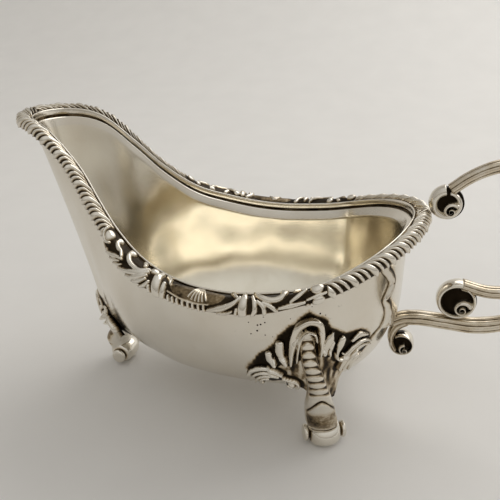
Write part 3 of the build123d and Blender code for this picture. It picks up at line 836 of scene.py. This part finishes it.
def shell_tarnish(strokes, raised, plain_tone, side, height):
    """How dark a shell is: black beside its strokes, and their own tone on its plain parts."""
    gap = np.full(side.shape, np.inf)
    for path, radii, _ in strokes:
        grown = tuple(radius + DARK_MARGIN for radius in radii)
        gap = np.minimum(gap, distance_to_path(path, grown, side, height))
    beside_strokes = 1 - (1 - plain_tone) * smooth_step(0.9, 1.3, gap)
    return np.where(raised > 0.05, 1 - smooth_step(0.25, 0.95, raised), beside_strokes)


def shell_grids(foot, azimuth, strokes, web, stations, lift=PLATE_LIFT):
    """Front and back of a shell plate, which cells it keeps, and how dark it is."""
    outermost = [point for path, _, _ in strokes for point in path] + web
    sides, heights = zip(*outermost)
    u = np.arange(min(sides) - PATCH_MARGIN, max(sides) + PATCH_MARGIN, PATCH_STEP)
    z = np.arange(min(heights) - PATCH_MARGIN, max(heights) + PATCH_TOP_MARGIN, PATCH_STEP)
    side, height = np.meshgrid(u, z)
    bowl = wall_reach(foot, azimuth, side, height)
    raised = relief(strokes, side, height)
    depth = depth_in_polygon(web, side, height)
    plain = depth > -PLATE_EDGE
    rise = smooth_step(-PLATE_EDGE, PLATE_EDGE, depth)
    base = bowl - STROKE_SINK
    if stations:
        slope = web_reach(stations, side, z)
        blended = np.logaddexp(WEB_BLEND * (bowl + lift), WEB_BLEND * slope) / WEB_BLEND
        base = base + rise * (blended - base)
        standing = np.clip(slope - bowl, 0, None) * ~plain * smooth_step(31, 27, height)
        base = base + 0.8 * standing
    else:
        base = base + rise * (bowl + lift - base)
    back = placed(foot, azimuth, np.where(base > bowl + 0.5, base - WEB_THICK, bowl - PLATE_SINK), side, height)
    front = placed(foot, azimuth, base, side, height)
    out_axis, _ = facing(azimuth)
    normal = grid_normals(placed(foot, azimuth, bowl, side, height))
    if (normal[..., :2] @ out_axis).mean() < 0:
        normal = -normal
    front = front + normal * raised[..., None]
    plain_tone = 0.0
    if stations:
        plain_tone = np.clip(WEB_TONE + WEB_CLOUDS * ripples(front * [1.0, 1.0, 0.35], 2.2, 9), 0.15, 0.95)
    tarnish_and_shade = shell_tarnish(strokes, raised, plain_tone, side, height)
    return front, back, plain | (raised > 0.02), tarnish_and_shade


def build_shells(material):
    front, back, keep, tarnish_and_shade = shell_grids(REAR_FOOT, REAR_AZIMUTH, REAR_SHELL_STROKES, REAR_WEB, REAR_LEG)
    add_patch("shell_rear_near_relief", front, back, keep, material, tarnish_and_shade, ["shell_rear_near"])
    front, back = flipped(front), flipped(back)
    add_patch("shell_rear_far_relief", front, back, keep, material, tarnish_and_shade, ["shell_rear_far"])
    web = FRONT_WEB + [(-u, v) for u, v in FRONT_WEB[-2::-1]]
    front, back, keep, tarnish_and_shade = shell_grids(FRONT_FOOT, 180.0, mirrored(FRONT_SHELL_STROKES), web, FRONT_LEG)
    add_patch("shell_front_relief", front, back, keep, material, tarnish_and_shade, ["shell_front"])
    strokes = mirrored(BACK_PLATE_STROKES + ROOT_LEAF_STROKES)
    outline = BACK_PLATE_OUTLINE + [(-u, v) for u, v in BACK_PLATE_OUTLINE[-2:0:-1]]
    front, back, keep, tarnish_and_shade = shell_grids((0.0, 0.0), 0.0, strokes, outline, None, BACK_PLATE_LIFT)
    add_patch("handle_back_plate_relief", front, back, keep, material, 0.8 * tarnish_and_shade, ["handle_back_plate"])


def leg_rings(stations, foot, azimuth):
    """Rings of a leg with ribs down its front, and how dark they are."""
    z = np.arange(stations[0][0], stations[-1][0], LEG_STEP)
    leg_side, leg_reach, half_width, depth = (values[:, None] for values in table_curve(stations, z))
    angle = np.linspace(0, 2 * math.pi, LEG_COLUMNS, endpoint=False)[None]
    ahead, aside = np.cos(angle), np.sin(angle)
    heights = z[:, None] + 0 * angle
    turned = np.sign(ahead) * np.abs(ahead) ** 0.8
    front = smooth_step(0.0, 0.5, ahead)
    hung = heights + RIB_BEND * aside**2
    tongue = TONGUE_TOP - TONGUE_DROP * aside**2
    above = smooth_step(0.2, 0.9, heights - tongue) * front
    above = above * smooth_step(RIB_BOTTOM - 1.0, RIB_BOTTOM - 0.5, hung)
    ribs_up = (hung - RIB_BOTTOM) / RIB_PITCH
    from_slit = np.abs(ribs_up - np.round(ribs_up)) * RIB_PITCH
    slit = np.exp(-((from_slit / (0.34 + 0.7 * aside**2)) ** 2)) * above
    line = np.exp(-(((heights - tongue) / (0.55 + 0.4 * aside**2)) ** 2)) * front
    pad = PAD_HEIGHT * smooth_step(tongue, tongue - 0.8, heights) * smooth_step(9.5, 14, heights) * front
    crease = np.exp(-(((heights - CREASE_HEIGHT) / CREASE_WIDTH) ** 2)) * front
    push = pad - RIB_DEPTH * slit * (0.7 + 0.6 * aside**2) - 0.5 * line - 0.3 * crease
    reach = leg_reach - depth / 2 + (depth / 2 + push) * turned
    side = leg_side + (half_width + 0.4 * push) * aside
    tarnish_and_shade = np.maximum.reduce([slit * (0.75 + 0.25 * aside**2), line, 0.8 * crease])
    tarnish_and_shade = np.maximum(tarnish_and_shade, 0.5 * (1 - front) * smooth_step(18, 26, heights))
    # Painted dark reflection on the front of the pad between these heights, a little darker on one side.
    pad_reflection = smooth_step(18.0, 15.0, heights) * smooth_step(8.2, 10.5, heights) * front
    tarnish_and_shade = np.maximum(tarnish_and_shade, (PAD_REFLECTION_TONE - 0.10 * aside) * pad_reflection)
    return placed(foot, azimuth, reach, side, heights), tarnish_and_shade


def toe_rings(foot, azimuth):
    """Rings of the toe roll with a knob at each end, and how dark they are."""
    profile = np.array(TOE_PROFILE)
    profile = np.vstack([profile[::-1] * [-1, 1], profile[1:]])
    lathe = curve_through(profile, 6 * len(profile))
    radius = np.clip(lathe[:, 1:], 0.02, None)
    turn = np.linspace(0, 2 * math.pi, TOE_COLUMNS, endpoint=False)[None]
    side = lathe[:, :1] + 0 * turn
    reach = radius * np.cos(turn)
    reach = reach * (1 + TOE_NOSE * (reach > 0) * np.clip(1 - (side / TOE_HALF) ** 2, 0, 1))
    height = np.clip(TOE_HEIGHT + radius * np.sin(turn), 0.0, None)
    tarnish_and_shade = np.exp(-(((np.abs(side) - TOE_GROOVE) / 0.3) ** 2)) + 0 * height
    return placed(foot, azimuth, reach, side, height), tarnish_and_shade


def build_leg(name, stations, foot, azimuth, flip, material):
    parts = (("_stem", leg_rings(stations, foot, azimuth)), ("_toe", toe_rings(foot, azimuth)))
    for part, (rings, tarnish_and_shade) in parts:
        if flip:
            rings = flipped(rings)
        add_tube(name + part, rings, material, tarnish_and_shade, [name])


def build_legs(material):
    build_leg("leg_rear_near", REAR_LEG, REAR_FOOT, REAR_AZIMUTH, False, material)
    build_leg("leg_rear_far", REAR_LEG, REAR_FOOT, REAR_AZIMUTH, True, material)
    build_leg("leg_front", FRONT_LEG, FRONT_FOOT, 180.0, False, material)


# ---- handle ----
def sweep_rings(path, half_thick, half_width, reed_depth):
    """Rings of a reeded oval section along a path in the plane of symmetry, and how deep each place lies."""
    run = np.gradient(path, axis=0)
    run /= np.linalg.norm(run, axis=1)[:, None]
    normal = np.stack([-run[:, 1], run[:, 0]], axis=1)
    angle = np.linspace(0, 2 * math.pi, 96, endpoint=False)[None]
    crest = np.abs(np.cos(angle * REEDS / 2)) ** 0.7
    size = 1 - reed_depth[:, None] * (1 - crest)
    lift = half_thick[:, None] * size * np.cos(angle)
    y = half_width[:, None] * size * np.sin(angle)
    x = path[:, :1] + normal[:, :1] * lift
    z = path[:, 1:] + normal[:, 1:] * lift
    dark = (1 - smooth_step(0.15, 0.55, crest)) * (reed_depth[:, None] > 0.03)
    return np.stack([x, y, z], axis=-1), dark


def build_stem(name, node, points, thick, width, reed, material):
    path = curve_through(points, 160)
    share = np.linspace(0, 1, len(path))
    half_thick, half_width = (np.interp(share, (0, 0.5, 1), sizes) for sizes in (thick, width))
    rings, dark = sweep_rings(path, half_thick, half_width, np.full(len(path), reed))
    add_tube(name, rings, material, STEM_TONE + REED_TONE * dark, [node])


def coil(centre, reach, angle):
    """Path in the plane of symmetry that goes round a centre."""
    return np.array(centre) + np.stack([reach * np.cos(angle), reach * np.sin(angle)], axis=1)


def build_snail(name, centre, radius, start, material):
    """Snail that stands out of a curl's middle, with a dark line between its turns."""
    knob = np.array(centre) + radius * np.array(KNOB_SHIFT)
    turn = np.linspace(0, 2 * math.pi * KNOB_TURNS, 220)
    reach = KNOB_SHARE * radius * np.exp(-KNOB_TIGHTNESS * turn)
    inside = math.exp(-2 * math.pi * KNOB_TIGHTNESS)
    path = coil(knob, reach * (1 + inside) / 2, np.radians(start - 60) + turn)
    half_thick = reach * (1 - inside) / 2
    half_width = KNOB_HALF_WIDTH + 0.7 * (1 - reach / reach[0])
    rings, _ = sweep_rings(path, half_thick, half_width, 0 * reach)
    offset = np.hypot(rings[..., 0] - path[:, :1], rings[..., 2] - path[:, 1:]) / half_thick[:, None]
    tarnish_and_shade = smooth_step(0.93, 1.0, offset) * smooth_step(1.5, 3.0, turn)[:, None]
    add_tube(name + "_snail", rings, material, tarnish_and_shade, [name])


def build_curl(name, centre, radius, band, start, material):
    """Curled end: an outer turn, a hollow inside it painted black for its shade and oxide, and the snail."""
    thick = radius * band
    angle = np.radians(start) + np.linspace(0, CURL_SWEEP, 120)
    fade = np.linspace(1, CURL_FADE, len(angle))
    path = coil(centre, radius - thick / 2 - 0.15 * radius * (1 - fade), angle)
    rings, _ = sweep_rings(path, thick / 2 * fade, CURL_HALF_WIDTH + 0 * fade, 0 * fade)
    add_tube(name + "_turn", rings, material, np.zeros(rings.shape[:2]), [name])

    half = [(1.2, 0.86 * radius), (1.7, 0.3 * radius), (1.5, 0.02)]
    hollow = [(-y, r) for y, r in reversed(half)] + half
    turn = np.linspace(0, 2 * math.pi, 48, endpoint=False)
    disc = []
    for y, r in hollow:
        circle = [centre[0] + r * np.cos(turn), y + 0 * turn, centre[1] + r * np.sin(turn)]
        disc.append(np.column_stack(circle))
    disc = np.array(disc)
    # The hollow's faces are painted black: partly painted shade in the recess, partly oxide.
    add_tube(name + "_hollow", disc, material, np.ones(disc.shape[:2]), [name])
    build_snail(name, centre, radius, start, material)


def build_handle(material):
    stems = [
        ("handle_main_scroll", MAIN_SCROLL, (1.9, 2.4, 1.9), (2.6, 2.8, 2.6), 0.10),
        ("handle_lower_arm", LOWER_ARM, (2.5, 2.7, 1.9), (2.9, 3.1, 2.5), REED_DEPTH),
        ("handle_foot_stem", FOOT_STEM, (1.8, 1.5, 0.8), (2.8, 2.9, 2.8), 0.05),
    ]
    for name, points, thick, width, reed in stems:
        build_stem(name + "_stem", name, points, thick, width, reed, material)
    build_curl("handle_top_curl", TOP_CURL, TOP_CURL_RADIUS, 0.62, 100, material)
    build_curl("handle_inner_curl", LOW_CURL, LOW_CURL_RADIUS, 0.36, 80, material)
    build_curl("handle_foot_curl", FOOT_CURL, FOOT_CURL_RADIUS, 0.30, 150, material)


# ---- materials ----
class Nodes:
    """Short ways to make and join shader nodes."""

    def __init__(self, tree):
        self.tree = tree

    def add(self, kind, **settings):
        node = self.tree.nodes.new(kind)
        for name, value in settings.items():
            if name in node.inputs:
                node.inputs[name].default_value = value
            else:
                setattr(node, name, value)
        return node

    def join(self, start, end):
        self.tree.links.new(start, end)

    def math(self, operation, a, b):
        node = self.add("ShaderNodeMath", operation=operation)
        for socket, value in zip(node.inputs, (a, b)):
            if isinstance(value, (int, float)):
                socket.default_value = value
            else:
                self.join(value, socket)
        return node.outputs[0]

    def add_scaled(self, base, value, factor):
        return self.math("ADD", base, self.math("MULTIPLY", value, factor))

    def share(self, value):
        """The value held between 0 and 1."""
        return self.math("MINIMUM", self.math("MAXIMUM", value, 0.0), 1.0)

    def tone(self, name):
        """One of the tones that the meshes carry per vertex."""
        return self.add("ShaderNodeAttribute", attribute_name=name).outputs["Fac"]

    def mix(self, factor, a, b, blend="MIX"):
        node = self.add("ShaderNodeMix", data_type="RGBA", blend_type=blend)
        for socket, value in ((node.inputs[0], factor), (node.inputs[6], a), (node.inputs[7], b)):
            if isinstance(value, (int, float)):
                socket.default_value = value
            elif isinstance(value, tuple):
                socket.default_value = (*value, 1.0)
            else:
                self.join(value, socket)
        return node.outputs[2]

    def noise(self, coordinates, scale, detail=2.0, stretch=None):
        if stretch:
            mapping = self.add("ShaderNodeMapping", Scale=stretch)
            self.join(coordinates, mapping.inputs["Vector"])
            coordinates = mapping.outputs[0]
        node = self.add("ShaderNodeTexNoise", Scale=scale, Detail=detail)
        self.join(coordinates, node.inputs["Vector"])
        return node.outputs["Fac"]

    def ramp(self, factor, stops):
        node = self.add("ShaderNodeValToRGB")
        while len(node.color_ramp.elements) < len(stops):
            node.color_ramp.elements.new(0.5)
        for element, (place, colour) in zip(node.color_ramp.elements, stops):
            element.position = place
            element.color = (*colour, 1.0)
        self.join(factor, node.inputs[0])
        return node.outputs[0]


def new_material(name):
    """A material with its shader, the helper for its nodes, and the place on the object."""
    material = bpy.data.materials.new(name)
    material.use_nodes = True
    nodes = Nodes(material.node_tree)
    shader = material.node_tree.nodes["Principled BSDF"]
    place = nodes.add("ShaderNodeTexCoord").outputs["Object"]
    return material, shader, nodes, place


def silver_material(name, roughness, is_sheet):
    """Old polished silver: dark in its recesses with oxide and painted shade, and on the legs' pads with a
    painted reflection; finely scratched, a little uneven in colour.
    """
    material, shader, nodes, place = new_material(name)
    shader.inputs["Metallic"].default_value = 1.0
    tarnish_and_shade = nodes.tone("tarnish_and_shade")
    speckle = nodes.noise(place, SPECKLE_SCALE, 3.0)
    patches = nodes.noise(place, PATCH_SCALE, 3.0)
    uneven = nodes.math("MULTIPLY", nodes.math("SUBTRACT", patches, 0.5), 0.9)
    uneven = nodes.add_scaled(uneven, nodes.math("SUBTRACT", speckle, 0.5), 0.5)
    distance = nodes.math("ABSOLUTE", nodes.math("SUBTRACT", tarnish_and_shade, 0.5), 0.0)
    in_between = nodes.math("SUBTRACT", 1.15, nodes.math("MULTIPLY", distance, 2.0))
    dark = nodes.add_scaled(tarnish_and_shade, uneven, in_between)
    if is_sheet:
        pits = nodes.tone("pits")
        cells = nodes.add("ShaderNodeTexVoronoi", Scale=PIT_SCALE)
        nodes.join(place, cells.inputs["Vector"])
        dots = nodes.math("LESS_THAN", cells.outputs["Distance"], nodes.math("MULTIPLY", pits, 0.2))
        dark = nodes.math("MAXIMUM", dark, nodes.math("MULTIPLY", dots, 0.85))
        metal = nodes.mix(nodes.tone("gilt"), SILVER, GILT)
    else:
        metal = SILVER
    clouds = nodes.ramp(nodes.noise(place, CLOUD_SCALE, 4.0), CLOUD_STOPS)
    metal = nodes.mix(1.0, metal, clouds, "MULTIPLY")
    colour = nodes.mix(1.0, metal, nodes.ramp(dark, TARNISH_AND_SHADE_STOPS), "MULTIPLY")
    nodes.join(colour, shader.inputs["Base Color"])
    rough = nodes.add_scaled(roughness, nodes.noise(place, SMEAR_SCALE, 5.0), 0.10)
    rough = nodes.add_scaled(rough, nodes.math("MAXIMUM", dark, 0.0), 0.3)
    nodes.join(rough, shader.inputs["Roughness"])
    scratches = nodes.noise(place, 1.0, 2.0, SCRATCH_STRETCH)
    cross = nodes.noise(place, 1.0, 2.0, CROSS_STRETCH)
    grain = nodes.math("ADD", scratches, nodes.add_scaled(cross, speckle, 0.6))
    bump = nodes.add("ShaderNodeBump", Strength=0.10, Distance=0.0001)
    nodes.join(grain, bump.inputs["Height"])
    nodes.join(bump.outputs[0], shader.inputs["Normal"])
    return material


# ---- studio ----
def build_floor():
    """Paper sheet that lies flat under the boat and rises behind it in a wide curve."""
    mesh = bpy.data.meshes.new("floor")
    turn = np.linspace(0, math.pi / 2, 24)
    bend = np.column_stack([PAPER_START + PAPER_BEND * np.sin(turn), PAPER_BEND * (1 - np.cos(turn))])
    run = np.vstack([[-PAPER_REACH, 0.0], bend, bend[-1] + [0.0, PAPER_REACH]])
    points = [(x, y, z) for y, z in run for x in (-PAPER_REACH, PAPER_REACH)]
    mesh.from_pydata(points, [], grid_faces(len(run), 2))
    mesh.shade_smooth()
    floor = bpy.data.objects.new("floor", mesh)
    bpy.context.collection.objects.link(floor)
    material, shader, nodes, place = new_material("pale_floor")
    shade = nodes.ramp(nodes.noise(place, 30.0, 4.0), [(0.3, tuple(0.97 * c for c in FLOOR)), (0.7, FLOOR)])
    nodes.join(shade, shader.inputs["Base Color"])
    shader.inputs["Roughness"].default_value = 0.6
    mesh.materials.append(material)


def add_light(name, place, size, power, colour):
    """Area light that looks at the boat."""
    light = bpy.data.lights.new(name, "AREA")
    light.shape = "RECTANGLE"
    light.size, light.size_y = size
    light.energy = power
    light.color = colour
    lamp = bpy.data.objects.new(name, light)
    lamp.location = place
    lamp.rotation_euler = (Vector(LIGHT_AIM) - Vector(place)).to_track_quat("-Z", "Y").to_euler()
    bpy.context.collection.objects.link(lamp)


def build_world():
    """Soft light from above and behind. The room is darker towards the camera and the spout."""
    world = bpy.data.worlds.new("studio")
    bpy.context.scene.world = world
    world.use_nodes = True
    nodes = Nodes(world.node_tree)
    way = nodes.add("ShaderNodeTexCoord").outputs["Generated"]
    parts = nodes.add("ShaderNodeSeparateXYZ")
    nodes.join(way, parts.inputs[0])
    above = nodes.ramp(parts.outputs["Z"], SKY_STOPS)
    behind = nodes.math("MULTIPLY", nodes.math("ADD", parts.outputs["Y"], 0.25), 0.9)
    sky = nodes.mix(nodes.share(behind), above, SKY_BEHIND)
    left = nodes.math("MULTIPLY", parts.outputs["X"], -0.9)
    sky = nodes.mix(nodes.share(left), sky, ROOM_LEFT)
    background = world.node_tree.nodes["Background"]
    nodes.join(sky, background.inputs["Color"])
    background.inputs["Strength"].default_value = SKY_STRENGTH


def build_camera():
    camera = bpy.data.cameras.new("camera")
    camera.lens = CAMERA_LENS
    camera.sensor_width = 36.0
    camera.clip_start = 0.01
    holder = bpy.data.objects.new("camera", camera)
    holder.location = CAMERA_PLACE
    holder.rotation_euler = (math.radians(CAMERA_TILT), 0.0, math.radians(CAMERA_TURN))
    bpy.context.collection.objects.link(holder)
    bpy.context.scene.camera = holder


sheet_silver = silver_material("polished_sheet_silver", SHEET_ROUGHNESS, True)
cast_silver = silver_material("polished_cast_silver", CAST_ROUGHNESS, False)
build_bowl(sheet_silver)
build_wire(sheet_silver)
build_border(cast_silver)
build_shells(cast_silver)
build_legs(cast_silver)
build_handle(cast_silver)
build_floor()
add_light("window_behind", WINDOW_PLACE, WINDOW_SIZE, WINDOW_POWER, WINDOW_COLOUR)
build_world()
build_camera()
bpy.context.scene.view_settings.view_transform = "Standard"
